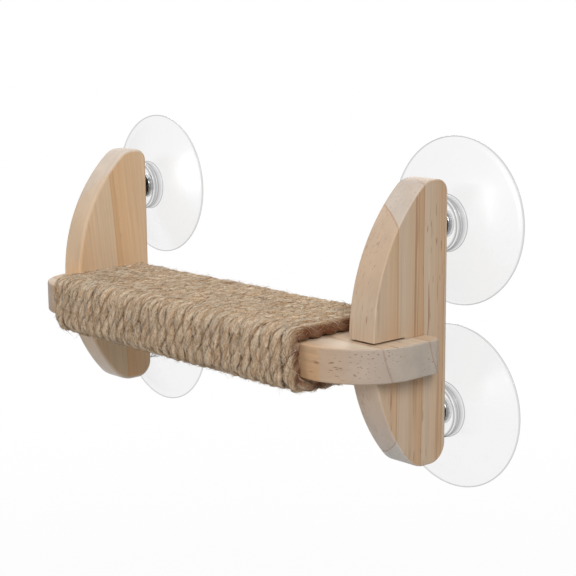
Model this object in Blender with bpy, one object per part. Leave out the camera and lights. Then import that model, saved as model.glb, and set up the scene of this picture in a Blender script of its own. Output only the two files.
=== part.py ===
"""Window perch for small birds.

A rope-wound pine board crosses two D-shaped pine panels in cross-lap joints.
Each panel hangs on the window by two clear suction cups, held by screws whose
heads sit captive in the bosses of the cups.

Metres. +X runs along the perch, +Y points to the window and +Z is up.
The origin lies on the glass, midway between the four cups.
"""

import math

import bmesh
import bpy
from mathutils import Vector

# Side panels. The top depth is that of the front arc at the top end, before its nose is rounded
PANEL_HEIGHT = 0.100
PANEL_THICKNESS = 0.012
PANEL_DEPTH = 0.036
PANEL_SPACING = 0.172
PANEL_TOP_DEPTH = 0.0106
PANEL_CROWN_HEIGHT = -0.002
PANEL_TOP_NOSE_RADIUS = 0.009
PANEL_TOP_HEEL_RADIUS = 0.005
PANEL_BOTTOM_NOSE_RADIUS = 0.012
PANEL_BOTTOM_HEEL_RADIUS = 0.007
PANEL_EDGE_EASE = 0.0006
PANEL_TO_GLASS = 0.012

# Perch board
BOARD_LENGTH = 0.200
BOARD_DEPTH = 0.040
BOARD_THICKNESS = 0.012
BOARD_TOP_HEIGHT = -0.003
BOARD_SETBACK = 0.0105
BOARD_FRONT_CORNER_RADIUS = 0.025
BOARD_BACK_CORNER_RADIUS = 0.004
BOARD_EDGE_EASE = 0.0006

# Cross-lap joint: the wood left behind the panel's slot, and the play in the cuts
LAP_LAND = 0.0209
SLOT_HEADROOM = 0.0007
NOTCH_SIDE_PLAY = 0.0004

# Rope winding
ROPE_DIAMETER = 0.0050
ROPE_TURN_GAP = 0.0006
ROPE_END_MARGIN = 0.005
ROPE_END_SPREAD = 0.0008
ROPE_END_FROM_BACK = 0.0135
ROPE_MOST_TURNS = 24

# Staples over the rope's ends
STAPLE_WIRE = 0.0007
STAPLE_WIDTH = 0.0010
STAPLE_GRIP = 0.0060
STAPLE_FROM_END = 0.0030

# Suction cups
CUP_FROM_PANEL_END = 0.0165
CUP_RADIUS = 0.030
CUP_LIP_WIDTH = 0.0024
CUP_RIM_THICKNESS = 0.0010
CUP_HOLLOW_DEPTH = 0.0050
CUP_WALL = 0.0022
CUP_BOSS_RADIUS = 0.010
CUP_BOSS_EDGE = 0.0006
CUP_BOSS_GROOVE = 0.0006
CUP_BOSS_LIP = 0.0010
CUP_BOSS_GAP = 0.0005

# Screws
SCREW_HEAD_RADIUS = 0.0050
SCREW_HEAD_THICKNESS = 0.0022
SCREW_HEAD_DOME = 0.0006
SCREW_SHANK_RADIUS = 0.0020
SCREW_GRIP = 0.0150
SCREW_POINT = 0.0030

# Fits and fineness
FIT_GAP = 0.0003
CUTTER_OVERRUN = 0.002
ARC_STEP = math.radians(12)
CROWN_ARC_STEP = math.radians(5)
CUP_SIDES = 32
SCREW_SIDES = 16
DISH_STEPS = 4

# Derived places
PANEL_BACK = -PANEL_TO_GLASS
PANEL_INNER_X = PANEL_SPACING / 2 - PANEL_THICKNESS / 2
PANEL_TOP_REACH = PANEL_HEIGHT / 2 - PANEL_CROWN_HEIGHT
PANEL_TOP_DROP = PANEL_DEPTH - PANEL_TOP_DEPTH
PANEL_FRONT_RADIUS = (PANEL_TOP_REACH ** 2 + PANEL_TOP_DROP ** 2) / (2 * PANEL_TOP_DROP)
CUP_HEIGHT = PANEL_HEIGHT / 2 - CUP_FROM_PANEL_END
BOARD_BACK = PANEL_BACK - BOARD_SETBACK
BOARD_FRONT = BOARD_BACK - BOARD_DEPTH
BOARD_MIDDLE = (BOARD_BACK + BOARD_FRONT) / 2
BOARD_UNDERSIDE = BOARD_TOP_HEIGHT - BOARD_THICKNESS
LAP_LINE = PANEL_BACK - LAP_LAND
BOSS_FRONT = PANEL_BACK + CUP_BOSS_GAP
POCKET_FRONT = BOSS_FRONT + CUP_BOSS_LIP
HEAD_FRONT = POCKET_FRONT + FIT_GAP
HEAD_BACK = HEAD_FRONT + SCREW_HEAD_THICKNESS
POCKET_BACK = HEAD_BACK + FIT_GAP


def material(name, colour, roughness, metallic=0.0, alpha=1.0):
    """A Principled material for one sub-part."""
    mat = bpy.data.materials.new(name)
    mat.use_nodes = True
    shader = mat.node_tree.nodes["Principled BSDF"]
    shader.inputs["Base Color"].default_value = (*colour, 1.0)
    shader.inputs["Roughness"].default_value = roughness
    shader.inputs["Metallic"].default_value = metallic
    shader.inputs["Alpha"].default_value = alpha
    mat.diffuse_color = (*colour, alpha)
    return mat


def add_object(name, data, place, mat=None, parent=None):
    """Link an object at a world place, under a parent where it has one."""
    obj = bpy.data.objects.new(name, data)
    bpy.context.scene.collection.objects.link(obj)
    obj.parent = parent
    obj.location = Vector(place) - (Vector(parent.location) if parent else Vector())
    if mat:
        data.materials.append(mat)
    return obj


def mesh_from(bm, name, sharp_angle=math.radians(35)):
    """A smooth-shaded mesh with outward faces from a finished bmesh."""
    bmesh.ops.recalc_face_normals(bm, faces=bm.faces)
    mesh = bpy.data.meshes.new(name)
    bm.to_mesh(mesh)
    bm.free()
    mesh.shade_smooth()
    mesh.set_sharp_from_angle(angle=sharp_angle)
    return mesh


def arc(centre, radius, start, end, step=ARC_STEP):
    """Points along an arc, both ends included."""
    count = max(1, math.ceil(abs(end - start) / step))
    angles = (start + (end - start) * i / count for i in range(count + 1))
    return [(centre[0] + radius * math.cos(a), centre[1] + radius * math.sin(a)) for a in angles]


def prism(name, outline, place_point, sweep):
    """Extrude a flat outline along a vector; place_point lifts an outline point into 3D."""
    bm = bmesh.new()
    corners = [bm.verts.new(place_point(point)) for point in outline]
    face = bm.faces.new(corners)
    swept = bmesh.ops.extrude_face_region(bm, geom=[face])
    moved = [item for item in swept["geom"] if isinstance(item, bmesh.types.BMVert)]
    bmesh.ops.translate(bm, verts=moved, vec=sweep)
    bmesh.ops.remove_doubles(bm, verts=bm.verts, dist=1e-7)
    return mesh_from(bm, name)


def turned(name, profile, sides):
    """Spin a profile of (radius, y) points, from axis to axis, about the Y axis."""
    bm = bmesh.new()
    points = [bm.verts.new((radius, y, 0.0)) for radius, y in profile]
    edges = [bm.edges.new(pair) for pair in zip(points, points[1:])]
    bmesh.ops.spin(bm, geom=points + edges, cent=(0, 0, 0), axis=(0, 1, 0),
                   angle=math.tau, steps=sides, use_merge=True)
    bmesh.ops.remove_doubles(bm, verts=bm.verts, dist=1e-6)
    bmesh.ops.dissolve_degenerate(bm, edges=bm.edges, dist=1e-7)
    return mesh_from(bm, name)


def box_cutter(name, low, high):
    """A hidden box that cuts other pieces."""
    bm = bmesh.new()
    bmesh.ops.create_cube(bm, size=1.0)
    size = Vector(high) - Vector(low)
    bmesh.ops.scale(bm, vec=size, verts=bm.verts)
    cutter = add_object(name, mesh_from(bm, name), (Vector(low) + Vector(high)) / 2)
    return hide(cutter)


def hide(cutter):
    """Mark an object as a construction aid."""
    cutter.hide_render = True
    cutter.display_type = "WIRE"
    return cutter


def cut(obj, cutter):
    """Cut one piece by a construction aid."""
    boolean = obj.modifiers.new(cutter.name, "BOOLEAN")
    boolean.operation = "DIFFERENCE"
    boolean.solver = "EXACT"
    boolean.object = cutter


def ease_edges(obj, width):
    """Round over the long edges of a board."""
    bevel = obj.modifiers.new("eased edges", "BEVEL")
    bevel.width = width
    bevel.segments = 2
    bevel.limit_method = "ANGLE"
    bevel.angle_limit = math.radians(40)


def panel_outline():
    """D outline as (forward, up) points: forward from the back edge, up from mid height.

    A large front arc meets the flat ends through nose arcs, and heel arcs close
    the ends to the straight back edge.
    """
    half = PANEL_HEIGHT / 2
    crown = (PANEL_DEPTH - PANEL_FRONT_RADIUS, PANEL_CROWN_HEIGHT)

    def nose(end, radius):
        """Centre of the arc that touches an end line and the front arc, and its joint's angle."""
        up = end - math.copysign(radius, end)
        reach = PANEL_FRONT_RADIUS - radius
        forward = crown[0] + math.sqrt(reach ** 2 - (up - crown[1]) ** 2)
        return (forward, up), math.atan2(up - crown[1], forward - crown[0])

    top_nose, top_joint = nose(half, PANEL_TOP_NOSE_RADIUS)
    bottom_nose, bottom_joint = nose(-half, PANEL_BOTTOM_NOSE_RADIUS)
    top_heel = (min(PANEL_TOP_HEEL_RADIUS, top_nose[0]), half - PANEL_TOP_HEEL_RADIUS)
    bottom_heel = (min(PANEL_BOTTOM_HEEL_RADIUS, bottom_nose[0]), PANEL_BOTTOM_HEEL_RADIUS - half)
    quarter = math.pi / 2
    return (
        arc(top_heel, PANEL_TOP_HEEL_RADIUS, math.pi, quarter)
        + arc(top_nose, PANEL_TOP_NOSE_RADIUS, quarter, top_joint)
        + arc(crown, PANEL_FRONT_RADIUS, top_joint, bottom_joint, CROWN_ARC_STEP)[1:-1]
        + arc(bottom_nose, PANEL_BOTTOM_NOSE_RADIUS, bottom_joint, -quarter)
        + arc(bottom_heel, PANEL_BOTTOM_HEEL_RADIUS, -quarter, -math.pi)
    )


def build_panel(name, x, mat):
    """One side panel: eased D plate, slotted for the board and drilled for its screws."""
    mesh = prism(name, panel_outline(),
                 lambda p: (-PANEL_THICKNESS / 2, -p[0], p[1]), (PANEL_THICKNESS, 0, 0))
    panel = add_object(name, mesh, (x, PANEL_BACK, 0), mat)
    ease_edges(panel, PANEL_EDGE_EASE)
    side = PANEL_THICKNESS / 2 + CUTTER_OVERRUN
    slot = box_cutter(name + "_slot",
                      (x - side, PANEL_BACK - PANEL_DEPTH - CUTTER_OVERRUN, BOARD_UNDERSIDE - FIT_GAP),
                      (x + side, LAP_LINE, BOARD_TOP_HEIGHT + SLOT_HEADROOM))
    cut(panel, slot)
    return panel


def board_outline():
    """Plan of the board as (x, y) points, with large front and small back corner arcs."""
    half = BOARD_LENGTH / 2
    big = BOARD_FRONT_CORNER_RADIUS
    small = BOARD_BACK_CORNER_RADIUS
    quarter = math.pi / 2
    return (
        arc((half - big, BOARD_FRONT + big), big, -quarter, 0, math.radians(9))
        + arc((half - small, BOARD_BACK - small), small, 0, quarter, math.radians(18))
        + arc((small - half, BOARD_BACK - small), small, quarter, math.pi, math.radians(18))
        + arc((big - half, BOARD_FRONT + big), big, math.pi, 3 * quarter, math.radians(9))
    )


def build_board(mat):
    """The perch board with a notch from its back edge at each panel."""
    middle = Vector((0, BOARD_MIDDLE, BOARD_UNDERSIDE))
    mesh = prism("perch_board", board_outline(),
                 lambda p: (p[0], p[1] - BOARD_MIDDLE, 0), (0, 0, BOARD_THICKNESS))
    board = add_object("perch_board", mesh, middle, mat)
    ease_edges(board, BOARD_EDGE_EASE)
    half_notch = PANEL_THICKNESS / 2 + NOTCH_SIDE_PLAY
    for side, x in (("left", -PANEL_SPACING / 2), ("right", PANEL_SPACING / 2)):
        notch = box_cutter(side + "_notch",
                           (x - half_notch, LAP_LINE - FIT_GAP, BOARD_UNDERSIDE - CUTTER_OVERRUN),
                           (x + half_notch, BOARD_BACK + CUTTER_OVERRUN, BOARD_TOP_HEIGHT + CUTTER_OVERRUN))
        cut(board, notch)
    return board


def rope_section():
    """One round of the rope's centre line about the board, as (y, z) points from the ends' place under it.

    The round goes back under the board, up the back, forward over the top and
    down the front: four points on each corner arc and points between them on the flats.
    """
    off = FIT_GAP + ROPE_DIAMETER / 2
    radius = BOARD_EDGE_EASE + off
    front = BOARD_FRONT + BOARD_EDGE_EASE
    back = BOARD_BACK - BOARD_EDGE_EASE
    low = BOARD_UNDERSIDE + BOARD_EDGE_EASE
    high = BOARD_TOP_HEIGHT - BOARD_EDGE_EASE
    quarter = math.pi / 2
    step = math.radians(30.5)
    corners = [
        arc((back, low), radius, -quarter, 0, step),
        arc((back, high), radius, 0, quarter, step),
        arc((front, high), radius, quarter, 2 * quarter, step),
        arc((front, low), radius, 2 * quarter, 3 * quarter, step),
    ]

    def between(start, end, count):
        """Points that share a flat out evenly."""
        return [tuple(a + (b - a) * i / (count + 1) for a, b in zip(start, end)) for i in range(1, count + 1)]

    end = (BOARD_BACK - ROPE_END_FROM_BACK, BOARD_UNDERSIDE - off)
    return (
        [end] + between(end, corners[0][0], 1) + corners[0]
        + between(corners[0][-1], corners[1][0], 1) + corners[1]
        + between(corners[1][-1], corners[2][0], 3) + corners[2]
        + between(corners[2][-1], corners[3][0], 1) + corners[3]
        + between(corners[3][-1], end, 1)
    )


def winding():
    """Turns and pitch of the rope, and the x of its two ends."""
    end_x = PANEL_INNER_X - ROPE_END_MARGIN - ROPE_DIAMETER / 2
    span = 2 * (end_x - ROPE_END_SPREAD)
    turns = min(ROPE_MOST_TURNS, int(span / (ROPE_DIAMETER + ROPE_TURN_GAP)))
    return turns, span / turns, end_x


def rope_points():
    """Centre line of the whole winding: each round advances by the pitch, the end rounds by more."""
    section = rope_section()
    lengths = [math.dist(a, b) for a, b in zip(section, section[1:] + section[:1])]
    girth = sum(lengths)
    turns, pitch, end_x = winding()
    points = []
    x = -end_x
    for turn in range(turns):
        advance = pitch + (ROPE_END_SPREAD if turn in (0, turns - 1) else 0.0)
        for (y, z), length in zip(section, lengths):
            points.append(Vector((x, y, z)))
            x += advance * length / girth
    points.append(Vector((x, *section[0])))
    return points


def least_rope_gap(points):
    """Smallest clear distance between one round and the next, on points and on half steps."""
    fine = [p for a, b in zip(points, points[1:]) for p in (a, (a + b) / 2)] + points[-1:]
    per_turn = 2 * len(rope_section())
    near, far = per_turn // 2, per_turn + per_turn // 2
    least = min((fine[i] - fine[j]).length
                for i in range(len(fine))
                for j in range(i + near, min(i + far, len(fine))))
    return least - ROPE_DIAMETER


def build_rope(board, mat):
    """The wound rope as one unbroken tube."""
    points = rope_points()
    curve = bpy.data.curves.new("perch_rope", "CURVE")
    curve.dimensions = "3D"
    curve.bevel_depth = ROPE_DIAMETER / 2
    curve.bevel_resolution = 1
    curve.use_fill_caps = True
    spline = curve.splines.new("POLY")
    spline.points.add(len(points) - 1)
    for spot, point in zip(spline.points, points):
        spot.co = (*(point - board.location), 1.0)
    add_object("perch_rope", curve, board.location, mat, board)
    print(f"perch_rope: {winding()[0]} turns, least gap to itself {least_rope_gap(points) * 1000:.2f} mm")


def staple_outline(grow=0.0):
    """Wire staple as (x, z) points about the rope, z from the underside; grow widens it for its holes."""
    inner = ROPE_DIAMETER / 2 + FIT_GAP - grow
    outer = ROPE_DIAMETER / 2 + FIT_GAP + STAPLE_WIRE + grow
    crown = -(ROPE_DIAMETER + 2 * FIT_GAP)
    tip = STAPLE_GRIP + grow
    return [(-outer, crown - STAPLE_WIRE - grow), (outer, crown - STAPLE_WIRE - grow), (outer, tip),
            (inner, tip), (inner, crown + grow), (-inner, crown + grow), (-inner, tip), (-outer, tip)]


def build_staples(board, mat):
    """A staple over each rope end, its legs in close holes in the board."""
    points = rope_points()
    ends = (("left_rope_staple", points[0], points[1]), ("right_rope_staple", points[-1], points[-2]))
    for name, end, inward in ends:
        along = end + (inward - end).normalized() * STAPLE_FROM_END
        place = Vector((along.x, along.y, BOARD_UNDERSIDE))
        for grow, title in ((0.0, name), (FIT_GAP, name + "_holes")):
            width = STAPLE_WIDTH + 2 * grow
            mesh = prism(title, staple_outline(grow),
                         lambda p, w=width: (p[0], -w / 2, p[1]), (0, width, 0))
            piece = add_object(title, mesh, place, None if grow else mat, None if grow else board)
            if grow:
                cut(board, hide(piece))


def cup_profile():
    """Section of a suction cup as (radius, y) points: hollow, lip, dish, boss and head pocket.

    The hollow is a shallow spherical cap. The dish wall thins evenly from boss to rim.
    """
    mouth = CUP_RADIUS - CUP_LIP_WIDTH
    ball = (mouth ** 2 + CUP_HOLLOW_DEPTH ** 2) / (2 * CUP_HOLLOW_DEPTH)
    root = CUP_BOSS_RADIUS + CUP_BOSS_EDGE

    def hollow(radius):
        """Depth of the hollow's face at a radius; the glass is at zero."""
        return ball - CUP_HOLLOW_DEPTH - math.sqrt(ball ** 2 - radius ** 2)

    def dish(radius):
        """Room-side face of the dish at a radius."""
        share = (radius - root) / (CUP_RADIUS - root)
        wall = CUP_WALL + (CUP_RIM_THICKNESS - CUP_WALL) * share
        return min(0.0, hollow(min(radius, mouth))) - wall

    inside = [(mouth * i / DISH_STEPS, hollow(mouth * i / DISH_STEPS)) for i in range(DISH_STEPS)]
    reach = [CUP_RADIUS + (root - CUP_RADIUS) * i / DISH_STEPS for i in range(DISH_STEPS + 1)]
    outside = [(radius, dish(radius)) for radius in reach]
    boss_root = dish(root) - CUP_BOSS_EDGE
    groove = (boss_root + BOSS_FRONT) / 2
    pocket = SCREW_HEAD_RADIUS + FIT_GAP
    bore = SCREW_SHANK_RADIUS + FIT_GAP
    return (
        inside + [(mouth, 0.0), (CUP_RADIUS, 0.0)] + outside
        + [(CUP_BOSS_RADIUS, boss_root),
           (CUP_BOSS_RADIUS, groove + CUP_BOSS_GROOVE),
           (CUP_BOSS_RADIUS - CUP_BOSS_GROOVE, groove),
           (CUP_BOSS_RADIUS, groove - CUP_BOSS_GROOVE),
           (CUP_BOSS_RADIUS, BOSS_FRONT + CUP_BOSS_EDGE),
           (CUP_BOSS_RADIUS - CUP_BOSS_EDGE, BOSS_FRONT),
           (bore, BOSS_FRONT), (bore, POCKET_FRONT), (pocket, POCKET_FRONT), (pocket, POCKET_BACK),
           (0.0, POCKET_BACK)]
    )


def screw_profile(grow=0.0):
    """Section of a screw as (radius, y) points: round head with an eased front, shank and point."""
    shank = SCREW_SHANK_RADIUS + grow
    tip = PANEL_BACK - SCREW_GRIP - grow
    return [(0.0, HEAD_BACK), (SCREW_HEAD_RADIUS, HEAD_BACK),
            (SCREW_HEAD_RADIUS, HEAD_FRONT + SCREW_HEAD_DOME),
            (SCREW_HEAD_RADIUS - SCREW_HEAD_DOME, HEAD_FRONT),
            (shank, HEAD_FRONT), (shank, tip + SCREW_POINT), (0.0, tip)]


def build_cup(corner, panel, z, materials):
    """One suction cup on its screw, with the screw's hole in the panel's back edge."""
    x = panel.location.x
    place = (x, 0, z)
    add_object(corner + "_cup", turned(corner + "_cup", cup_profile(), CUP_SIDES),
               place, materials["cup"], panel)
    add_object(corner + "_screw", turned(corner + "_screw", screw_profile(), SCREW_SIDES),
               place, materials["screw"], panel)
    hole = add_object(corner + "_hole", turned(corner + "_hole", screw_profile(FIT_GAP), SCREW_SIDES), place)
    cut(panel, hide(hole))


def main():
    for obj in list(bpy.data.objects):
        bpy.data.objects.remove(obj, do_unlink=True)

    board = build_board(material("board pine", (0.78, 0.62, 0.45), 0.62))
    build_rope(board, material("jute rope", (0.55, 0.42, 0.28), 0.95))
    build_staples(board, material("staple wire", (0.62, 0.62, 0.60), 0.35, 1.0))

    pieces = {
        "cup": material("clear soft plastic", (0.92, 0.94, 0.95), 0.10, alpha=0.35),
        "screw": material("bright screw", (0.70, 0.70, 0.72), 0.18, 1.0),
    }
    for side, x in (("left", -PANEL_SPACING / 2), ("right", PANEL_SPACING / 2)):
        panel = build_panel(side + "_side_panel", x, material(side + " panel pine", (0.76, 0.59, 0.41), 0.62))
        for level, z in (("upper", CUP_HEIGHT), ("lower", -CUP_HEIGHT)):
            build_cup(level + "_" + side, panel, z, pieces)


main()
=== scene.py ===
"""Looks of the window perch: pine, jute rope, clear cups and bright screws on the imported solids.

Metres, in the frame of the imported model: +X along the perch, +Y to the window, +Z up.
"""

import math
import random

import bmesh
import bpy
from mathutils import Matrix, Vector, noise


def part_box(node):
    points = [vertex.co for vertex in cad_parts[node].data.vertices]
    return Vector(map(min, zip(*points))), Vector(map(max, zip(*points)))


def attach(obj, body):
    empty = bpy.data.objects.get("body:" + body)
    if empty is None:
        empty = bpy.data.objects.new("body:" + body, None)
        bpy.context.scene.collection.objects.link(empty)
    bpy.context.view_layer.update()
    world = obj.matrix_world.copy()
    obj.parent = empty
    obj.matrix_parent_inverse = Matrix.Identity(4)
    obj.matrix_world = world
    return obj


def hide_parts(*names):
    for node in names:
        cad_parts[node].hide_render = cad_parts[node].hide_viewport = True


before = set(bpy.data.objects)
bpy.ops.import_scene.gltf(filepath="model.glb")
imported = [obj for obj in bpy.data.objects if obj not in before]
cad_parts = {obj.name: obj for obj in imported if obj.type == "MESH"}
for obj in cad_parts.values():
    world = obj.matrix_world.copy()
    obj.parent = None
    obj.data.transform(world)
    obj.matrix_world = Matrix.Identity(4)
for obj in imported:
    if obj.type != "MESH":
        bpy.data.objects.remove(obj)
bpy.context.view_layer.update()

# Side panels: the D outline, its slot and its rounded arrises
PANEL_FRONT_RADIUS = 0.0659
PANEL_CROWN_HEIGHT = -0.002
PANEL_TOP_NOSE, PANEL_TOP_HEEL = 0.009, 0.005
PANEL_BOTTOM_NOSE, PANEL_BOTTOM_HEEL = 0.012, 0.007
LAP_LAND = 0.0209
SLOT_HEADROOM = 0.0007
PANEL_ARRIS = {"left": 0.0014, "right": 0.0006}
ARRIS_SEGMENTS = 5

# Perch board
BOARD_FRONT_CORNER, BOARD_BACK_CORNER = 0.025, 0.004
BOARD_ARRIS = 0.0006
NOTCH_SIDE_PLAY = 0.0004
FIT_GAP = 0.0003

# Rope: strands laid together, wound in close turns
ROPE_TURNS = 27
ROPE_RADIUS = 0.0025
ROPE_END_SPREAD = 0.0012
ROPE_END_FROM_BACK = 0.0135
STRANDS = 3
STRAND_RADIUS = 0.00164
STRAND_SIDES = 8
STRAND_UNEVENNESS = 0.06
LAY_LENGTH = 0.0200
LAY_DRIFT = 0.7  # radians
SECTION_STEP = 0.00085
SQUARENESS = 3.4  # 2 is round
ROPE_SPREAD = 1.14
CRINKLE = 0.00014
ROPE_SWAY, ROPE_LIFT = 0.00038, 0.00016
FIBRE_TWIST = 0.5
# Least share of the painted shade on the end turns' side towards the panel, away from the board's top
END_SHADE_LEAST = 0.40

# Single fibres of the rope; reach and spread are angles about it from its outward side
FIBRE_SIDES, FIBRE_JOINTS = 3, 4
FIBRE_TAPER = 0.6
PANEL_CLEARANCE = 0.0006
LYING_FIBRES, LOOSE_FIBRES = 7400, 7000
LYING_RADIUS, LOOSE_RADIUS = 0.00009, 0.00005
LYING_LENGTHS, LOOSE_LENGTHS = (0.002, 0.006), (0.002, 0.005)
LYING_REACH, LOOSE_REACH = 1.6, 1.9
LYING_SPREAD, LYING_WAVER = 0.8, 0.07
LYING_LIFT, LYING_END_LIFT = 0.00012, 0.0009
SHADED_FROM, SHADED_PALEST = 0.4, 0.35
LOOSE_END_MARGIN = 0.002
LOOSE_SIDEWAYS, LOOSE_OUTWARD = 0.9, 0.35
LOOSE_CURL, LOOSE_DROOP = 0.4, 0.16

# Suction cups; the last three rows are how thick the plastic looks, with painted bands of shade and
# light on the boss wall
CUP_SIDES, CUP_STEPS = 128, 24
CUP_LIP_WIDTH, CUP_RIM, CUP_HOLLOW, CUP_WALL = 0.0024, 0.0007, 0.0050, 0.0022
RIM_FLAT, RIM_INSET = 0.00005, 0.0002
BOSS_RADIUS, BOSS_LIP, BOSS_FILLET = 0.010, 0.0010, 0.0004
BOSS_GROOVE, BOSS_ROUNDING, BOSS_FACE_INSET = 0.0006, 0.0006, 0.0012
FILLET_DEGREES = (20, 40, 60, 80, 90)
GROOVE_STEPS = 4
RIM_THICK = 0.38
BOSS_THICK, BOSS_PAINTED_BANDING = 0.55, 0.45
POCKET_MOUTH_THICK, POCKET_BACK_THICK = 0.3, 0.2

# Screws
SCREW_SIDES = 48
HEAD_RADIUS, HEAD_THICKNESS, HEAD_ROUNDING = 0.0050, 0.0022, 0.0008
HEAD_DEGREES = (0, 22, 45, 67, 90)
SHANK_RADIUS, POINT_LENGTH = 0.0020, 0.0030
THREAD_DEPTH, THREAD_PITCH, THREAD_FROM_PANEL = 0.00025, 0.0012, 0.001

# Camera, as solved from the photograph's outlines
IMAGE_PIXELS, FOCAL_PIXELS, SENSOR_MM = 576, 1417, 36.0
CAMERA_PLACE = Vector((0.4122, -0.3762, 0.1022))
CAMERA_AZIMUTH, CAMERA_ELEVATION, CAMERA_ROLL = 47.83, 10.57, -0.47
CAMERA_NEAREST = 0.01

# Stage
FLOOR_HEIGHT, FLOOR_RADIUS, FLOOR_SIDES = -0.30, 1.1, 96
FLOOR_GREY = 0.61
FLOOR_FADE = (0.30, 0.95)  # from the middle
FLOOR_GLOW = 0.95
SKY_LIGHT = 0.16
WHITE, COOL = (1.0, 1.0, 1.0), (0.94, 1.0, 1.06)
LIGHTS = (  # name, place, size, power, colour
    ("key", (1.03, -0.77, 0.77), 0.6, 13.6, WHITE),
    ("fill", (-0.43, -1.33, 0.085), 0.45, 2.6, WHITE),
    ("overhead", (0.0, -0.1, 1.2), 0.8, 6.6, COOL),
    ("back", (-0.85, 1.0, 0.55), 0.6, 6.0, WHITE),
)

FINE_ARC = math.radians(2.5)
QUARTER = math.pi / 2
SIDES = ("left", "right")
LEVELS = ("upper", "lower")
PANEL_BOX = {side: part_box(side + "_side_panel") for side in SIDES}
BOARD_LOW, BOARD_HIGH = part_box("perch_board")
PANEL_BACK = PANEL_BOX["left"][1].y


# Node trees

def srgb(red, green, blue):
    """A display colour, 0 to 255, as the linear colour that shaders take."""
    def linear(value):
        value /= 255
        return value / 12.92 if value <= 0.04045 else ((value + 0.055) / 1.055) ** 2.4
    return (linear(red), linear(green), linear(blue), 1.0)


def grey(value):
    """A linear grey."""
    return (value, value, value, 1.0)


class Tree:
    """One material's node tree, with short calls for the nodes used here."""

    def __init__(self, name):
        self.material = bpy.data.materials.new(name)
        self.material.use_nodes = True
        self.tree = self.material.node_tree
        self.shader = self.tree.nodes["Principled BSDF"]
        self.output = self.tree.nodes["Material Output"]

    def add(self, kind, feeds=None, **settings):
        """A node with its settings, and its inputs fed by sockets or set to values."""
        node = self.tree.nodes.new("ShaderNode" + kind)
        for key, value in settings.items():
            setattr(node, key, value)
        for key, value in (feeds or {}).items():
            self.feed(node.inputs[key], value)
        return node

    def feed(self, socket, value):
        """Link a socket into an input, or set the input's value."""
        if isinstance(value, bpy.types.NodeSocket):
            self.tree.links.new(value, socket)
        else:
            socket.default_value = value

    def shade(self, **feeds):
        """Feed the Principled shader; underscores stand for spaces."""
        for key, value in feeds.items():
            self.feed(self.shader.inputs[key.replace("_", " ")], value)

    def mix_shaders(self, share, first, second):
        """Put a mix of two shaders out in place of the Principled one."""
        self.tree.nodes.remove(self.shader)
        surface = self.add("MixShader", {0: share, 1: first.outputs[0], 2: second.outputs[0]})
        self.feed(self.output.inputs["Surface"], surface.outputs[0])

    def math(self, operation, *values):
        """A Math node's result."""
        node = self.add("Math", operation=operation)
        for socket, value in zip(node.inputs, values):
            self.feed(socket, value)
        return node.outputs[0]

    def vector(self, operation, *values):
        """A Vector Math node, for whichever of its outputs is needed."""
        node = self.add("VectorMath", operation=operation)
        for socket, value in zip(node.inputs, values):
            self.feed(socket, value)
        return node

    def stretched(self, coordinates, scale):
        """Coordinates scaled along their three axes."""
        return self.vector("MULTIPLY", coordinates, scale).outputs["Vector"]

    def noise(self, coordinates, scale, detail, roughness=0.5, distortion=0.0):
        """Noise at so many waves a metre along each axis."""
        feeds = {"Vector": self.stretched(coordinates, scale), "Scale": 1.0, "Detail": detail,
                 "Roughness": roughness, "Distortion": distortion}
        return self.add("TexNoise", feeds).outputs["Fac"]

    def range(self, value, low, high, to_low=0.0, to_high=1.0, smooth=False):
        """A value carried from one range to another, and held there."""
        return self.add("MapRange", {"Value": value, "From Min": low, "From Max": high,
                                     "To Min": to_low, "To Max": to_high},
                        interpolation_type="SMOOTHSTEP" if smooth else "LINEAR").outputs["Result"]

    def ramp(self, value, stops):
        """Colours along a value."""
        node = self.add("ValToRGB", {"Fac": value})
        elements = node.color_ramp.elements
        while len(elements) < len(stops):
            elements.new(0.5)
        for element, (place, colour) in zip(elements, stops):
            element.position = place
            element.color = colour
        return node.outputs["Color"]

    def mix(self, share, first, second, blend="MIX"):
        """Two colours mixed by a share."""
        node = self.add("Mix", data_type="RGBA", blend_type=blend)
        for key, value in ((0, share), (6, first), (7, second)):
            self.feed(node.inputs[key], value)
        return node.outputs[2]

    def scaled(self, colour, factor):
        """A colour made lighter or darker by a factor."""
        even = self.add("CombineColor", {"Red": factor, "Green": factor, "Blue": factor})
        return self.mix(1.0, colour, even.outputs["Color"], "MULTIPLY")

    def bump(self, height, strength, distance):
        """A normal from a height."""
        node = self.add("Bump", {"Height": height, "Strength": strength, "Distance": distance})
        return node.outputs["Normal"]

    def seen_directly(self):
        """1 for rays from the eye, from mirrors and through clear pieces, and 0 for light."""
        path = self.add("LightPath").outputs
        bounced = self.math("MAXIMUM", path["Is Glossy Ray"], path["Is Transmission Ray"])
        return self.math("MAXIMUM", path["Is Camera Ray"], bounced)


# Materials

# Browns that all the pine shares, and those of the rope
RING_LINE, CUT_RING_LINE = srgb(158, 112, 80), srgb(146, 96, 72)
STREAK, DASH, RESIN = srgb(156, 108, 74), srgb(140, 78, 42), srgb(102, 64, 42)
LATE_CUT = srgb(196, 164, 136)
JUTE_TAN, JUTE_GREY = srgb(194, 150, 104), srgb(188, 171, 152)
# Painted shade for the rope: dark brown in its creases, and on the end turns' side towards the panel
JUTE_SLIT_SHADE, JUTE_END_SHADE = srgb(88, 50, 29), srgb(112, 62, 33)


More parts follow.
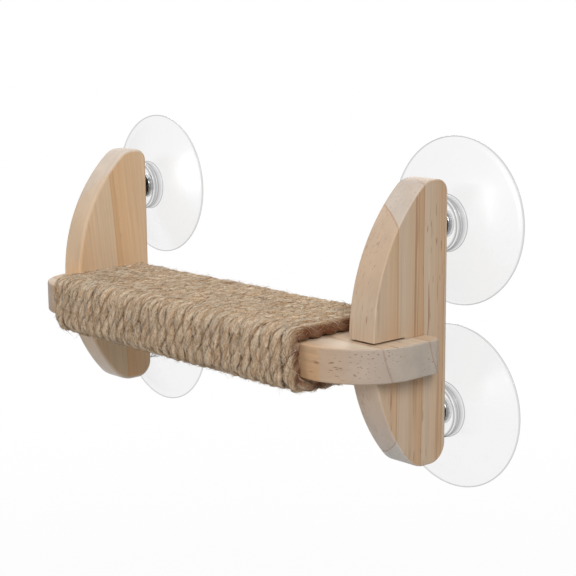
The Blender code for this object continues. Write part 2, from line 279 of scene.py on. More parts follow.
def pine(name, grain, pith, line, ring, early, late, ends, uneven=0.12, resin=0.4, figure=1.0,
         quiet=0.8, heart=-9.0, lines=0.5, border=(0.13, 0.26)):
    """Sanded pine cut from a log: growth rings about a pith, fibres, resin flecks and end grain.

    grain: direction of the fibres
    pith: a point on the log's middle line
    line: distance from the pith to the end of one year's ring
    ring: a ring's usual width
    early, late: colours of a year's first and last wood
    ends: colours of the end grain, in every third year and in the others
    uneven: how far the rings' widths vary
    resin: how dark the resin flecks are
    figure: how plainly streaks and dashes show
    quiet: how far the years other than every third take their late colour
    heart: the first year in the piece
    lines: how dark each year ends
    border: how squarely the fibres are cut where end grain begins, and where it is full
    """
    t = Tree(name)
    grain = Vector(grain).normalized()
    turn = grain.rotation_difference(Vector((0, 0, 1))).to_matrix()
    coordinates = t.add("TexCoord")
    log = t.add("Mapping", {"Vector": coordinates.outputs["Object"], "Rotation": turn.to_euler(),
                            "Location": -(turn @ Vector(pith))}).outputs["Vector"]

    # Growth rings
    across = t.vector("LENGTH", t.stretched(log, (1, 1, 0))).outputs["Value"]
    wander = t.range(t.noise(log, (26, 26, 8), detail=2.0), 0.0, 1.0, -0.0022, 0.0022)
    age = t.math("DIVIDE", t.math("SUBTRACT", t.math("ADD", across, wander), line), ring)
    by_age = t.noise(t.add("CombineXYZ", {"X": age}).outputs[0], (0.7, 1, 1), detail=0.0)
    age = t.math("ADD", age, t.range(by_age, 0.0, 1.0, -uneven, uneven))
    age = t.math("MAXIMUM", age, heart)
    season = t.math("FRACT", age)
    off_year = t.math("ABSOLUTE", t.math("MODULO", t.math("FLOOR", age), 3.0))
    lateness = t.math("MULTIPLY", t.range(season, 0.25, 0.95),
                      t.range(off_year, 0.0, 1.0, 1.0, quiet))
    ring_line = t.math("MULTIPLY", t.range(season, 0.945, 0.985), t.range(season, 0.998, 0.988))

    # Long grain
    threads = t.noise(log, (1000, 1000, 18), detail=3.0, roughness=0.65)
    streaks = t.noise(log, (300, 300, 7), detail=2.0)
    colour = t.mix(lateness, early, late)
    colour = t.mix(t.math("MULTIPLY", ring_line, lines), colour, RING_LINE)
    colour = t.scaled(colour, t.range(threads, 0.28, 0.72, 0.90, 1.07))
    colour = t.scaled(colour, t.range(streaks, 0.25, 0.75, 0.955, 1.04))
    brown = t.range(t.noise(log, (640, 640, 9), detail=3.0, roughness=0.7), 0.57, 0.69)
    brown_share = t.range(lateness, 0.2, 1.0, 0.25 * figure, 0.60 * figure)
    colour = t.mix(t.math("MULTIPLY", brown, brown_share), colour, STREAK)

    # End grain: greyer where it faces along the grain or against it, by its own amount each way, the
    # against side partly as painted floor light
    along = t.vector("DOT_PRODUCT", coordinates.outputs["Normal"], grain).outputs["Value"]
    facing = t.math("ABSOLUTE", along)
    end_grain = t.range(facing, *border, smooth=True)
    cut = t.mix(off_year, *ends)
    cut = t.mix(t.math("MULTIPLY", lateness, 0.30), cut, LATE_CUT)
    cut = t.scaled(cut, t.range(t.noise(log, (200, 200, 60), detail=3.0), 0.3, 0.7, 0.92, 1.06))
    # Facing against the grain (down on the panels) the end grain is greyer and lighter: painted light
    # from the floor below
    end_grey_and_painted_floor_grey = t.math("MULTIPLY", t.range(along, 0.40, 0.90, 1.0, 0.74),
                    t.range(along, -0.10, -0.70, 1.0, 0.42))
    lighter = t.range(along, -0.10, -0.70, 1.0, 1.10)
    cut = t.add("HueSaturation", {"Saturation": end_grey_and_painted_floor_grey, "Value": lighter,
                                  "Color": cut}).outputs["Color"]
    cut = t.mix(t.math("MULTIPLY", ring_line, 0.8 * lines), cut, CUT_RING_LINE)
    cut_share = t.range(facing, 0.1, 0.6, 0.70, 0.92)
    colour = t.mix(t.math("MULTIPLY", end_grain, cut_share), colour, cut)

    # Dashes along the grain, resin flecks, and pores in the end grain
    dashes = t.math("MULTIPLY", t.range(t.noise(log, (800, 800, 55), detail=1.0), 0.665, 0.73),
                    t.range(t.noise(log, (110, 110, 16), detail=1.0), 0.50, 0.60))
    dash_share = t.range(end_grain, 0.0, 1.0, 0.45 * figure, 0.0)
    colour = t.mix(t.math("MULTIPLY", dashes, dash_share), colour, DASH)
    ducts = t.noise(log, (2100, 1000, 150), detail=1.0)
    where = t.noise(log, (70, 70, 10), detail=1.0)
    flecks = t.math("MULTIPLY", t.range(ducts, 0.67, 0.73), t.range(where, 0.48, 0.60))
    pores = t.math("MULTIPLY", t.range(ducts, 0.64, 0.71),
                   t.math("MULTIPLY", end_grain, t.range(where, 0.42, 0.58)))
    colour = t.mix(t.math("MULTIPLY", t.math("MAXIMUM", flecks, pores), resin), colour, RESIN)

    t.shade(Base_Color=colour, Roughness=t.range(threads, 0.2, 0.8, 0.54, 0.72),
            Normal=t.bump(threads, 0.16, 0.0002), Specular_IOR_Level=0.3)
    return t.material


def jute(name):
    """Twisted jute: pale, tan and grey fibres along the yarn, with brown painted shade in the lay,
    between turns and on the end turns' side towards the panel.
    """
    t = Tree(name)
    lay = t.add("UVMap", uv_map="lay").outputs["UV"]
    crease_shade = t.add("Attribute", attribute_name="painted_crease_shade").outputs["Fac"]
    painted_end_shade = t.add("Attribute", attribute_name="painted_end_shade").outputs["Fac"]
    place = t.add("TexCoord").outputs["Object"]
    yarns = t.noise(lay, (130, 20, 1), detail=2.0, roughness=0.6, distortion=0.4)
    fine = t.noise(lay, (560, 46, 1), detail=3.0, roughness=0.7, distortion=0.8)
    curls = t.noise(place, (900, 900, 900), detail=2.0, roughness=0.6, distortion=1.5)
    tint = t.noise(lay, (42, 9, 1), detail=1.0)
    broad = t.noise(place, (70, 70, 70), detail=2.0)
    patchy = t.noise(place, (150, 150, 150), detail=1.0)
    strength = t.math("ADD", t.math("MULTIPLY", yarns, 0.30),
                      t.math("ADD", t.math("MULTIPLY", fine, 0.28), t.math("MULTIPLY", curls, 0.42)))
    colour = t.ramp(strength, [(0.34, srgb(112, 80, 54)), (0.44, srgb(184, 154, 120)),
                               (0.52, srgb(213, 189, 161)), (0.64, srgb(236, 222, 200))])
    colour = t.mix(t.range(tint, 0.46, 0.30, 0.0, 0.45), colour, JUTE_TAN)
    colour = t.mix(t.range(tint, 0.55, 0.70, 0.0, 0.40), colour, JUTE_GREY)
    colour = t.scaled(colour, t.range(broad, 0.3, 0.7, 1.00, 1.22))
    # Painted shade: dark brown in the creases between strands and between turns, patchy along them
    painted_slit_shade = t.math("MULTIPLY", t.range(crease_shade, 0.15, 0.75, 0.0, 0.92),
                   t.range(patchy, 0.40, 0.62, 0.25, 1.0))
    colour = t.mix(painted_slit_shade, colour, JUTE_SLIT_SHADE)
    # Painted shade on the end turns' side towards the panel
    colour = t.mix(t.range(painted_end_shade, 0.1, 0.8, 0.0, 0.80), colour, JUTE_END_SHADE)
    t.shade(Base_Color=colour, Roughness=t.range(fine, 0.2, 0.8, 0.95, 0.80),
            Normal=t.bump(strength, 1.0, 0.0012), Specular_IOR_Level=0.15, Sheen_Weight=0.06,
            Sheen_Roughness=0.6, Sheen_Tint=srgb(255, 240, 222))
    return t.material


def straw(name):
    """Single fibres, each of its own tint from brown to pale straw."""
    t = Tree(name)
    tint = t.add("Attribute", attribute_name="tint").outputs["Fac"]
    colour = t.ramp(tint, [(0.0, srgb(122, 86, 58)), (0.22, srgb(190, 150, 108)),
                           (0.50, srgb(214, 189, 157)), (0.75, srgb(208, 193, 172)),
                           (1.0, srgb(240, 229, 208))])
    t.shade(Base_Color=colour, Roughness=t.range(tint, 0.0, 1.0, 0.9, 0.65), Specular_IOR_Level=0.2)
    return t.material


def clear_plastic(name):
    """Clear soft plastic: greyer where thick or met edge on, with moulding waves and handling marks."""
    t = Tree(name)
    place = t.add("TexCoord").outputs["Object"]
    marks = t.noise(place, (130, 130, 130), detail=3.0)
    waves = t.bump(t.noise(place, (45, 45, 45), detail=1.0), 0.06, 0.0006)
    edge_on = t.add("LayerWeight", {"Blend": 0.5, "Normal": waves}).outputs["Facing"]
    thick = t.add("Attribute", attribute_name="thick").outputs["Fac"]
    through = t.ramp(edge_on, [(0.0, grey(0.965)), (0.45, grey(0.955)), (0.80, grey(0.90)),
                               (1.0, grey(0.60))])
    through = t.scaled(through, t.range(thick, 0.0, 1.0, 1.0, 0.42))
    body = t.add("BsdfTransparent", {"Color": through})
    gloss = t.add("BsdfGlossy", {"Color": grey(0.88), "Normal": waves,
                                 "Roughness": t.range(marks, 0.40, 0.75, 0.20, 0.30)})
    mirrored = t.math("MULTIPLY_ADD", t.math("POWER", edge_on, 4.0), 0.55, 0.04)
    t.mix_shaders(mirrored, body, gloss)
    return t.material


def bright_metal(name, colour, roughness):
    """Plated steel with faint turning lines about the screw's axis and a cloudy sheen."""
    t = Tree(name)
    place = t.add("TexCoord").outputs["Object"]
    cloud = t.noise(place, (400, 400, 400), detail=2.0)
    lines = t.noise(place, (150, 9000, 150), detail=1.0)
    duller = tuple(c * 0.86 for c in colour[:3]) + (1.0,)
    t.shade(Base_Color=t.ramp(cloud, [(0.3, duller), (0.7, colour)]),
            Roughness=t.range(cloud, 0.3, 0.7, roughness * 0.8, roughness * 1.4),
            Normal=t.bump(lines, 0.10, 0.00005), Metallic=1.0)
    return t.material


# Meshes

def arc(centre, radius, start, end, step=FINE_ARC):
    """Points along an arc, both ends included."""
    count = max(1, math.ceil(abs(end - start) / step))
    angles = (start + (end - start) * i / count for i in range(count + 1))
    return [(centre[0] + radius * math.cos(a), centre[1] + radius * math.sin(a)) for a in angles]


def add_piece(name, mesh, mat, body, slot, *nodes):
    """Link a mesh as a piece that rides a body, in place of CAD nodes."""
    mesh.materials.append(mat)
    piece = bpy.data.objects.new(name, mesh)
    bpy.context.scene.collection.objects.link(piece)
    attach(piece, body)
    if nodes:
        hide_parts(*nodes)
    return piece


def finished(bm, name, sharp=math.radians(40)):
    """A smooth-shaded mesh, sharp only at true corners."""
    bmesh.ops.recalc_face_normals(bm, faces=bm.faces)
    mesh = bpy.data.meshes.new(name)
    bm.to_mesh(mesh)
    bm.free()
    mesh.shade_smooth()
    mesh.set_sharp_from_angle(angle=sharp)
    return mesh


def keep_flats_flat(piece):
    """Weight normals by face, so that flats next to rounded arrises stay flat."""
    weighted = piece.modifiers.new("flat faces", "WEIGHTED_NORMAL")
    weighted.keep_sharp = True


def sawn_plate(name, outline, lift, sweep, arris):
    """A plate from outline points (a, b, eased): lifted into 3D, swept, and rounded where eased."""
    bm = bmesh.new()
    near = [bm.verts.new(lift(a, b)) for a, b, _ in outline]
    far = [bm.verts.new(lift(a, b) + sweep) for a, b, _ in outline]
    bm.faces.new(near)
    bm.faces.new(reversed(far))
    arrises = []
    for i, (_, _, eased) in enumerate(outline):
        j = (i + 1) % len(outline)
        bm.faces.new((near[j], near[i], far[i], far[j]))
        if eased:
            arrises += [bm.edges.get((near[i], near[j])), bm.edges.get((far[i], far[j]))]
    bmesh.ops.recalc_face_normals(bm, faces=bm.faces)
    bmesh.ops.bevel(bm, geom=arrises, offset=arris, offset_type="OFFSET", segments=ARRIS_SEGMENTS,
                    profile=0.5, affect="EDGES", clamp_overlap=False)
    return finished(bm, name)


def turned(name, profile, sides, place):
    """Spin a profile of (radius, y) points, from axis to axis, about a line along Y.

    A third value in a point says how thick the piece looks there.
    """
    bm = bmesh.new()
    thick = bm.verts.layers.float.new("thick")
    points = [bm.verts.new((radius, y, 0.0)) for radius, y, *_ in profile]
    for vert, (_, _, *more) in zip(points, profile):
        vert[thick] = more[0] if more else 0.0
    edges = [bm.edges.new(pair) for pair in zip(points, points[1:])]
    bmesh.ops.spin(bm, geom=points + edges, cent=(0, 0, 0), axis=(0, 1, 0),
                   angle=math.tau, steps=sides, use_merge=True)
    bmesh.ops.remove_doubles(bm, verts=bm.verts, dist=1e-6)
    bmesh.ops.translate(bm, verts=bm.verts, vec=place)
    return finished(bm, name)


# Wood

def panel_outline():
    """D outline with its slot, as (forward from the back edge, up, eased) points."""
    low, high = PANEL_BOX["left"]
    half = high.z
    front_reach = high.y - low.y
    crown = (front_reach - PANEL_FRONT_RADIUS, PANEL_CROWN_HEIGHT)
    slot_low, slot_high = BOARD_LOW.z - FIT_GAP, BOARD_HIGH.z + SLOT_HEADROOM

    def nose(end, radius):
        """Centre of the arc between an end and the front arc, and the angle where they meet."""
        up = end - math.copysign(radius, end)
        reach = PANEL_FRONT_RADIUS - radius
        forward = crown[0] + math.sqrt(reach ** 2 - (up - crown[1]) ** 2)
        return (forward, up), math.atan2(up - crown[1], forward - crown[0])

    def front_angle(up):
        """Angle on the front arc at a height."""
        return math.asin((up - crown[1]) / PANEL_FRONT_RADIUS)

    top_nose, top_joint = nose(half, PANEL_TOP_NOSE)
    bottom_nose, bottom_joint = nose(-half, PANEL_BOTTOM_NOSE)
    front_step = FINE_ARC / 2
    upper = (arc((PANEL_TOP_HEEL, half - PANEL_TOP_HEEL), PANEL_TOP_HEEL, math.pi, QUARTER)
             + arc(top_nose, PANEL_TOP_NOSE, QUARTER, top_joint)
             + arc(crown, PANEL_FRONT_RADIUS, top_joint, front_angle(slot_high), front_step)[1:])
    lower = (arc(crown, PANEL_FRONT_RADIUS, front_angle(slot_low), bottom_joint, front_step)
             + arc(bottom_nose, PANEL_BOTTOM_NOSE, bottom_joint, -QUARTER)[1:]
             + arc((PANEL_BOTTOM_HEEL, PANEL_BOTTOM_HEEL - half), PANEL_BOTTOM_HEEL,
                   -QUARTER, -math.pi))
    return ([(a, b, True) for a, b in upper[:-1]] + [(*upper[-1], False)]
            + [(LAP_LAND, slot_high, False), (LAP_LAND, slot_low, False)]
            + [(a, b, True) for a, b in lower])


def build_panels():
    """Both D panels, each from its own piece of pine."""
    woods = {
        "left": pine("left panel pine", grain=(0.0, -0.10, 1.0), pith=(-0.125, 0.015, 0.0),
                     line=0.0628, ring=0.0195, early=srgb(227, 198, 164), late=srgb(226, 181, 134),
                     ends=(srgb(214, 186, 156), srgb(220, 201, 181)),
                     resin=0.1, figure=0.3, lines=0.12),
        "right": pine("right panel pine", grain=(0.0, 0.012, 1.0), pith=(0.060, -0.088, 0.0),
                      line=0.0604, ring=0.0106, early=srgb(203, 180, 155), late=srgb(200, 164, 128),
                      ends=(srgb(199, 182, 165), srgb(199, 171, 144)), figure=1.3, heart=-0.98),
    }
    for side in SIDES:
        low, high = PANEL_BOX[side]
        mesh = sawn_plate(side + "_panel_wood", panel_outline(),
                          lambda forward, up, x=low.x: Vector((x, PANEL_BACK - forward, up)),
                          Vector((high.x - low.x, 0, 0)), PANEL_ARRIS[side])
        keep_flats_flat(add_piece(side + "_panel_wood", mesh, woods[side], "side_panels", "panel_pine",
                                  side + "_side_panel"))


def board_outline():
    """Plan of the board with its notches, as (x, y, eased) points."""
    half, front, back = BOARD_HIGH.x, BOARD_LOW.y, BOARD_HIGH.y
    big, small = BOARD_FRONT_CORNER, BOARD_BACK_CORNER
    notch_end = PANEL_BACK - LAP_LAND - FIT_GAP

    def notch(side):
        """A notch from the back edge, walked towards -X."""
        low, high = PANEL_BOX[side]
        near, far = high.x + NOTCH_SIDE_PLAY, low.x - NOTCH_SIDE_PLAY
        return [(near, back, False), (near, notch_end, False),
                (far, notch_end, False), (far, back, True)]

    def corner(x, y, radius, start):
        """A rounded corner."""
        return [(a, b, True) for a, b in arc((x, y), radius, start, start + QUARTER)]

    return (corner(half - big, front + big, big, -QUARTER)
            + corner(half - small, back - small, small, 0)
            + notch("right") + notch("left")
            + corner(small - half, back - small, small, QUARTER)
            + corner(big - half, front + big, big, 2 * QUARTER))


def build_board():
    """The perch board, sawn along the log."""
    mesh = sawn_plate("board_wood", board_outline(), lambda x, y: Vector((x, y, BOARD_LOW.z)),
                      Vector((0, 0, BOARD_HIGH.z - BOARD_LOW.z)), BOARD_ARRIS)
    wood = pine("board pine", grain=(1.0, 0.02, 0.0), pith=(0.1, 0.015, 0.008),
                line=0.0649, ring=0.0186, early=srgb(208, 188, 165), late=srgb(188, 143, 97),
                ends=(srgb(183, 160, 140), srgb(183, 166, 148)),
                uneven=0.03, resin=0.75, figure=0.4, quiet=0.35, border=(0.17, 0.22))
    keep_flats_flat(add_piece("board_wood", mesh, wood, "perch", "board_pine", "perch_board"))


# Rope

class Winding:
    """The wound rope, read by the distance along it.

    Each round goes back under the board, up the back, forward over the top and down the front.
    """

    def __init__(self):
        self.end_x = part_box("perch_rope")[1].x - ROPE_RADIUS
        self.bend = BOARD_ARRIS + FIT_GAP + ROPE_RADIUS
        front, back = BOARD_LOW.y + BOARD_ARRIS, BOARD_HIGH.y - BOARD_ARRIS
        under, over = BOARD_LOW.z + BOARD_ARRIS, BOARD_HIGH.z - BOARD_ARRIS
        end = BOARD_HIGH.y - ROPE_END_FROM_BACK
        self.corners = [Vector(c) for c in ((back, under), (back, over), (front, over), (front, under))]
        self.flats = [back - end, over - under, back - front, over - under, end - front]
        self.start = Vector((end, under - self.bend))
        self.girth = sum(self.flats) + math.tau * self.bend
        self.length = self.girth * ROPE_TURNS
        self.pitch = 2 * (self.end_x - ROPE_END_SPREAD) / ROPE_TURNS

    def round_at(self, q):
        """Point on one round, and the angle of its outward normal, in the plane of Y and Z."""
        corner_length = QUARTER * self.bend
        for side, flat in enumerate(self.flats):
            angle = (side - 1) * QUARTER
            normal = Vector((math.cos(angle), math.sin(angle)))
            if q <= flat or side == len(self.corners):
                start = self.start if side == 0 else self.corners[side - 1] + self.bend * normal
                return start + q * normal.orthogonal(), angle
            q -= flat
            if q <= corner_length:
                angle += q / self.bend
                normal = Vector((math.cos(angle), math.sin(angle)))
                return self.corners[side] + self.bend * normal, angle
            q -= corner_length

    def at(self, distance):
        """Place, heading and outward normal at a distance along the rope."""
        rounds = distance / self.girth
        (y, z), angle = self.round_at(distance % self.girth)
        normal = Vector((0, math.cos(angle), math.sin(angle)))
        spread = ROPE_END_SPREAD * (min(rounds, 1.0) + max(rounds - ROPE_TURNS + 1, 0.0))
        sway = ROPE_SWAY * noise.noise(Vector((distance * 17, 3.7, 0)))
        lift = ROPE_LIFT * noise.noise(Vector((distance * 31, 9.1, 0)))
        place = Vector((self.pitch * rounds + spread + sway - self.end_x, y, z)) + lift * normal
        heading = Vector((self.pitch / self.girth, -math.sin(angle), math.cos(angle))).normalized()
        return place, heading, normal

    def painted_end_shade(self, distance, around):
        """How much painted shade a point on the first or last round gets on its side towards the panel,
        most on the board's top.
        """
        end = (distance < self.girth) - (distance > self.length - self.girth)
        upward = max(0.0, self.at(distance)[2].z)
        return end * math.sin(around) * (END_SHADE_LEAST + (1 - END_SHADE_LEAST) * upward)

    def twist(self, distance):
        """Angle that the strands have turned through at a distance, a little unevenly."""
        drift = LAY_DRIFT * noise.noise(Vector((distance * 11, 1.9, 4.2)))
        return math.tau * distance / LAY_LENGTH + drift

    def skin(self, distance, around, lift=0.0):
        """Point on the rope's surface, at an angle about the rope from its outward side."""
        place, heading, normal = self.at(distance)
        side = heading.cross(normal)
        wedge = math.tau / STRANDS
        share = (around - self.twist(distance)) / wedge
        strand = math.floor(share + 0.5)
        off = (share - strand) * wedge
        centre = ROPE_RADIUS - STRAND_RADIUS
        radius = (centre * math.cos(off)
                  + math.sqrt(STRAND_RADIUS ** 2 - (centre * math.sin(off)) ** 2))
        bulge = noise.noise(Vector((distance * 150, (strand % STRANDS) * 7.3, 1.3)))
        radius *= 1.0 + STRAND_UNEVENNESS * bulge
        radius += CRINKLE * noise.noise(Vector((distance * 420, around * 2.2, 5.1)))
        c, s = math.cos(around), math.sin(around)
        radius *= (abs(c) ** SQUARENESS + abs(s) ** SQUARENESS) ** (-1 / SQUARENESS)
        return place + (radius + lift) * (c * normal + ROPE_SPREAD * s * side)


def build_rope(winding):
    """The wound rope as one unbroken tube of twisted strands."""
    columns = STRANDS * STRAND_SIDES
    rows = int(winding.length / SECTION_STEP) + 1
    step = winding.length / (rows - 1)
    points, crease_shades, painted_end_shades = [], [], []
    for row in range(rows):
        twist = winding.twist(row * step)
        for column in range(columns):
            off = 2 * (column % STRAND_SIDES) / STRAND_SIDES - 1
            around = math.tau * (column / columns - 1 / (2 * STRANDS)) + twist
            # Painted shade: how far each point lies in a crease between strands or between turns
            between_strands = 0.75 * abs(off) ** 4
            between_turns = (1.12 * abs(math.sin(around))) ** 7
            points.append(winding.skin(row * step, around))
            crease_shades.append(max(between_strands, between_turns))
            # How much painted shade the end turns get on their side towards the panel
            painted_end_shades.append(winding.painted_end_shade(row * step, around))

    def index(row, column):
        """Number of a point, with the columns going round."""
        return row * columns + column % columns

    faces = [(index(r, c), index(r, c + 1), index(r + 1, c + 1), index(r + 1, c))
             for r in range(rows - 1) for c in range(columns)]
    caps = [tuple(reversed(range(columns))), tuple(range((rows - 1) * columns, rows * columns))]
    mesh = bpy.data.meshes.new("rope_strands")
    mesh.from_pydata(points, [], faces + caps)
    for layer, values in (("painted_crease_shade", crease_shades), ("painted_end_shade", painted_end_shades)):
        mesh.attributes.new(layer, "FLOAT", "POINT").data.foreach_set("value", values)

    lay = mesh.uv_layers.new(name="lay")
    flat = []
    for r in range(rows - 1):
        for c in range(columns):
            for row, column in ((r, c), (r, c + 1), (r + 1, c + 1), (r + 1, c)):
                flat += [row * step, column / columns + FIBRE_TWIST * row * step / LAY_LENGTH]
    flat += [0.0] * (2 * sum(len(cap) for cap in caps))
    lay.data.foreach_set("uv", flat)
    mesh.shade_smooth()
    mesh.update()
    add_piece("rope_strands", mesh, jute("jute rope"), "perch", "jute_rope", "perch_rope")


class Fibres:
    """Thin tubes gathered in one mesh, each of its own tint."""

    def __init__(self, seed):
        self.dice = random.Random(seed)
        self.bm = bmesh.new()
        self.tint = self.bm.verts.layers.float.new("tint")
        self.wall = PANEL_BOX["right"][0].x - PANEL_CLEARANCE

    def thread(self, spots, radius, palest=1.0):
        """A tube through the spots, finer towards its end and clear of the panels."""
        shade = self.dice.random() * palest
        angles = [k * math.tau / FIBRE_SIDES for k in range(FIBRE_SIDES)]
        rings = []
        for joint, spot in enumerate(spots):
            ahead, behind = spots[min(joint + 1, len(spots) - 1)], spots[max(joint - 1, 0)]
            way = (ahead - behind).normalized()
            u = way.orthogonal().normalized()
            v = way.cross(u)
            thin = radius * (1.0 - FIBRE_TAPER * joint / len(spots))
            centre = Vector((max(-self.wall, min(self.wall, spot.x)), spot.y, spot.z))
            ring = [self.bm.verts.new(centre + thin * (math.cos(a) * u + math.sin(a) * v))
                    for a in angles]
            for vert in ring:
                vert[self.tint] = shade
            rings.append(ring)
        for near, far in zip(rings, rings[1:]):
            for k in range(FIBRE_SIDES):
                j = (k + 1) % FIBRE_SIDES
                self.bm.faces.new((near[k], near[j], far[j], far[k]))
        self.bm.faces.new(reversed(rings[0]))
        self.bm.faces.new(rings[-1])

    def gather(self, name, mat):
        """The fibres as one piece on the perch."""
        add_piece(name, finished(self.bm, name, math.pi), mat, "perch", "jute_rope")


def build_lying_fibres(winding, mat, name, seed, slope, spread):
    """Crimped fibres on the rope with lifted ends, at a mean slope to it and spread about that."""
    fibres = Fibres(seed)
    dice = fibres.dice
    for _ in range(LYING_FIBRES):
        length = dice.uniform(*LYING_LENGTHS)
        start = dice.uniform(0.0, winding.length - length)
        around = max(-LYING_REACH, min(LYING_REACH, dice.gauss(0.0, LYING_SPREAD)))
        turn = length * dice.gauss(slope, spread) / ROPE_RADIUS
        end_lift = dice.uniform(0.1, 1.0) ** 3 * LYING_END_LIFT
        spots = []
        for joint in range(FIBRE_JOINTS + 1):
            share = joint / FIBRE_JOINTS
            lift = end_lift * (2 * share - 1) ** 4 + dice.uniform(0.0, LYING_LIFT)
            sweep = turn * (share - 0.5) + dice.gauss(0.0, LYING_WAVER)
            spots.append(winding.skin(start + length * share, around + sweep, lift))
        # Fibres on the end turns' side towards the panel get darker tints: painted shade
        shaded = winding.painted_end_shade(start, around) > SHADED_FROM
        fibres.thread(spots, LYING_RADIUS * dice.uniform(0.5, 1.2), SHADED_PALEST if shaded else 1.0)
    fibres.gather(name, mat)


def build_loose_fibres(winding, mat, name, seed):
    """Finer fibres that stand off the rope and curl."""
    fibres = Fibres(seed)
    dice = fibres.dice
    for _ in range(LOOSE_FIBRES):
        distance = dice.uniform(LOOSE_END_MARGIN, winding.length - LOOSE_END_MARGIN)
        _, heading, normal = winding.at(distance)
        around = dice.uniform(-LOOSE_REACH, LOOSE_REACH)
        side = heading.cross(normal)
        out = math.cos(around) * normal + math.sin(around) * side
        spots = [winding.skin(distance, around)]
        way = (heading * dice.choice((-1, 1))
               + dice.uniform(-LOOSE_SIDEWAYS, LOOSE_SIDEWAYS) * side
               + dice.uniform(0.0, LOOSE_OUTWARD) * out).normalized()
        curl = Vector([dice.uniform(-LOOSE_CURL, LOOSE_CURL) for _ in range(3)]) - LOOSE_DROOP * out
        step = dice.uniform(*LOOSE_LENGTHS) / FIBRE_JOINTS
        for _ in range(FIBRE_JOINTS):
            spots.append(spots[-1] + way * step)
            way = (way + curl).normalized()
        fibres.thread(spots, LOOSE_RADIUS * dice.uniform(0.7, 1.3))
    fibres.gather(name, mat)


def dress_staples():
    """The wire staples over the rope's ends keep their solids."""
    wire = bright_metal("staple wire", srgb(196, 196, 194), 0.32)
    for side in SIDES:
        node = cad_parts[side + "_rope_staple"]
        node.data.materials.clear()
        node.data.materials.append(wire)


# Cups and screws

def cup_profile():
    """Section of a cup as (radius, y) points, some with how thick the plastic looks there.

    It runs from the hollow over the lip, the dish and the ringed boss to the screw head's pocket.
    """
    low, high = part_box("upper_right_cup")
    radius = (high.z - low.z) / 2
    boss_front = low.y
    mouth = radius - CUP_LIP_WIDTH
    ball = (mouth ** 2 + CUP_HOLLOW ** 2) / (2 * CUP_HOLLOW)
    root = BOSS_RADIUS + BOSS_FILLET

    def hollow(r):
        """Depth of the hollow's face at a radius."""
        return ball - CUP_HOLLOW - math.sqrt(ball ** 2 - r ** 2)

    def dish(r):
        """Room-side face of the dish at a radius: a cone from the boss's root to the rim."""
        top = hollow(root) - CUP_WALL
        return top - (CUP_RIM + top) * (r - root) / (radius - root)

    inside = [(r, hollow(r)) for r in (mouth * i / CUP_STEPS for i in range(CUP_STEPS))]
    rounding = CUP_RIM / 2 - RIM_FLAT
    edge = radius - rounding
    beside = edge - RIM_INSET
    rim_step = math.radians(22.5)
    rim = (arc((edge, -rounding), rounding, QUARTER, 0, rim_step)
           + arc((edge, rounding - CUP_RIM), rounding, 0, -QUARTER, rim_step))
    outside = [(r, dish(r)) for r in (edge + (root - edge) * i / CUP_STEPS
                                      for i in range(1, CUP_STEPS + 1))]
    boss_root = dish(root)
    fillet = [(BOSS_RADIUS + BOSS_FILLET * (1 - math.sin(a)),
               boss_root - BOSS_FILLET * (1 - math.cos(a)))
              for a in (math.radians(d) for d in FILLET_DEGREES)]
    middle = (boss_root - BOSS_FILLET + boss_front) / 2
    groove = [(BOSS_RADIUS - BOSS_GROOVE * 0.5 * (1 + math.cos(math.pi * k / GROOVE_STEPS)),
               middle - BOSS_GROOVE * k / GROOVE_STEPS)
              for k in range(-GROOVE_STEPS, GROOVE_STEPS + 1)]
    rounded = arc((BOSS_RADIUS - BOSS_ROUNDING, boss_front + BOSS_ROUNDING), BOSS_ROUNDING,
                  0, -QUARTER, math.radians(15))
    # The boss wall's greyness swings from point to point: painted bands of shade and light for the light
    # bent through its rings
    wall = [(r, y, BOSS_THICK + BOSS_PAINTED_BANDING * math.cos(k))
            for k, (r, y) in enumerate(fillet + groove + rounded)]
    pocket, bore = HEAD_RADIUS + FIT_GAP, SHANK_RADIUS + FIT_GAP
    pocket_front = boss_front + BOSS_LIP
    pocket_back = pocket_front + HEAD_THICKNESS + 2 * FIT_GAP
    return (inside + [(mouth, 0.0), (beside, 0.0)] + [(r, y, RIM_THICK) for r, y in rim]
            + [(beside, dish(beside))] + outside + wall
            + [(BOSS_RADIUS - BOSS_FACE_INSET, boss_front), (bore, boss_front),
               (bore, pocket_front, POCKET_MOUTH_THICK), (pocket, pocket_front, POCKET_MOUTH_THICK),
               (pocket, pocket_back, POCKET_BACK_THICK), (0.0, pocket_back)])


def screw_profile():
    """Section of a screw as (radius, y) points: rounded head, ridged shank and point."""
    low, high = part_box("upper_right_screw")
    head_front = high.y - HEAD_THICKNESS
    flat = HEAD_RADIUS - HEAD_ROUNDING
    angles = [math.radians(d) for d in HEAD_DEGREES]
    back = [(flat + HEAD_ROUNDING * math.sin(a), high.y - HEAD_ROUNDING + HEAD_ROUNDING * math.cos(a))
            for a in angles]
    front = [(flat + HEAD_ROUNDING * math.cos(a),
              head_front + HEAD_ROUNDING - HEAD_ROUNDING * math.sin(a)) for a in angles[1:]]
    thread_start = PANEL_BACK - THREAD_FROM_PANEL
    shank_end = low.y + POINT_LENGTH
    ridges = []
    for i in range(int((thread_start - shank_end) / THREAD_PITCH)):
        y = thread_start - i * THREAD_PITCH
        ridges += [(SHANK_RADIUS, y), (SHANK_RADIUS - THREAD_DEPTH, y - THREAD_PITCH * 0.5)]
    return ([(0.0, high.y)] + back + front + [(SHANK_RADIUS, head_front)] + ridges
            + [(SHANK_RADIUS, shank_end), (0.0, low.y)])


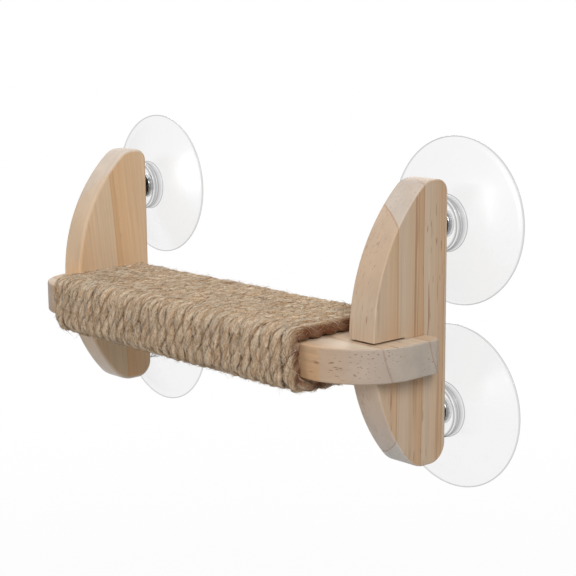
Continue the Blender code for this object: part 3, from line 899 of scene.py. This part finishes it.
def build_cups():
    """The four cups, each on its own body, and the screws that hold them to the panels."""
    plastic = clear_plastic("clear plastic")
    steel = bright_metal("bright screw", srgb(200, 202, 206), 0.08)
    for level in LEVELS:
        for side in SIDES:
            corner = level + "_" + side
            low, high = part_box(corner + "_cup")
            place = Vector(((low.x + high.x) / 2, 0, (low.z + high.z) / 2))
            cup, screw = corner + "_clear_cup", corner + "_bright_screw"
            add_piece(cup, turned(cup, cup_profile(), CUP_SIDES, place), plastic,
                      corner + "_cup_body", "clear_cup", corner + "_cup")
            add_piece(screw, turned(screw, screw_profile(), SCREW_SIDES, place), steel,
                      "side_panels", "bright_screw", corner + "_screw")


# Stage

def build_world():
    """White to the eye, to mirrors and through clear pieces; softer as a light."""
    world = bpy.data.worlds.new("studio")
    bpy.context.scene.world = world
    world.use_nodes = True
    tree = world.node_tree
    background = tree.nodes["Background"]
    background.inputs["Color"].default_value = grey(1.0)
    path = tree.nodes.new("ShaderNodeLightPath")
    seen = [path.outputs[name] for name in ("Is Camera Ray", "Is Glossy Ray", "Is Transmission Ray")]
    total = seen[0]
    for other in seen[1:]:
        either = tree.nodes.new("ShaderNodeMath")
        either.operation = "MAXIMUM"
        tree.links.new(total, either.inputs[0])
        tree.links.new(other, either.inputs[1])
        total = either.outputs[0]
    level = tree.nodes.new("ShaderNodeMapRange")
    level.inputs["To Min"].default_value = SKY_LIGHT
    level.inputs["To Max"].default_value = 1.0
    tree.links.new(total, level.inputs["Value"])
    tree.links.new(level.outputs["Result"], background.inputs["Strength"])


def build_floor():
    """A round white floor well below the hanging perch, fading into the backdrop at its rim."""
    bm = bmesh.new()
    bmesh.ops.create_circle(bm, cap_ends=True, segments=FLOOR_SIDES, radius=FLOOR_RADIUS)
    bmesh.ops.translate(bm, verts=bm.verts, vec=(0, 0, FLOOR_HEIGHT))
    mesh = finished(bm, "floor")
    t = Tree("white floor")
    place = t.add("TexCoord").outputs["Object"]
    away = t.vector("LENGTH", t.stretched(place, (1, 1, 0))).outputs["Value"]
    glow = t.range(away, *FLOOR_FADE, FLOOR_GLOW, 1.0, smooth=True)
    t.mix_shaders(t.math("MULTIPLY", t.seen_directly(), glow),
                  t.add("BsdfDiffuse", {"Color": grey(FLOOR_GREY)}),
                  t.add("Emission", {"Color": grey(1.0)}))
    mesh.materials.append(t.material)
    floor = bpy.data.objects.new("floor", mesh)
    bpy.context.scene.collection.objects.link(floor)


def build_lights():
    """Soft boxes: one on the right, a low one on the left for the cups, one overhead, one behind."""
    for name, place, size, power, colour in LIGHTS:
        light = bpy.data.lights.new(name, "AREA")
        light.shape = "SQUARE"
        light.size = size
        light.energy = power
        light.color = colour
        lamp = bpy.data.objects.new(name, light)
        lamp.location = place
        lamp.rotation_euler = Vector(place).to_track_quat("Z", "Y").to_euler()
        lamp.visible_camera = False
        bpy.context.scene.collection.objects.link(lamp)


def build_camera():
    """The photograph's camera."""
    a, e, r = (math.radians(d) for d in (CAMERA_AZIMUTH, CAMERA_ELEVATION, CAMERA_ROLL))
    back = Vector((math.sin(a) * math.cos(e), -math.cos(a) * math.cos(e), math.sin(e)))
    right = Vector((math.cos(a), math.sin(a), 0.0))
    up = back.cross(right)
    rolled_right = math.cos(r) * right + math.sin(r) * up
    rolled_up = math.cos(r) * up - math.sin(r) * right
    axes = Matrix((rolled_right, rolled_up, back)).transposed()
    data = bpy.data.cameras.new("camera")
    data.sensor_width = SENSOR_MM
    data.lens = SENSOR_MM * FOCAL_PIXELS / IMAGE_PIXELS
    data.clip_start = CAMERA_NEAREST
    camera = bpy.data.objects.new("camera", data)
    camera.matrix_world = Matrix.Translation(CAMERA_PLACE) @ axes.to_4x4()
    bpy.context.scene.collection.objects.link(camera)
    bpy.context.scene.camera = camera


def main():
    """Build the scene."""
    bpy.context.scene.view_settings.view_transform = "Standard"
    build_camera()
    build_panels()
    build_board()
    winding = Winding()
    build_rope(winding)
    fibre = straw("single fibres")
    build_lying_fibres(winding, fibre, "rope_lying_fibres", seed=27, slope=0.3, spread=0.3)
    build_lying_fibres(winding, fibre, "rope_crossing_fibres", seed=29, slope=0.0, spread=0.8)
    build_loose_fibres(winding, fibre, "rope_loose_fibres", seed=31)
    dress_staples()
    build_cups()
    build_world()
    build_floor()
    build_lights()


main()
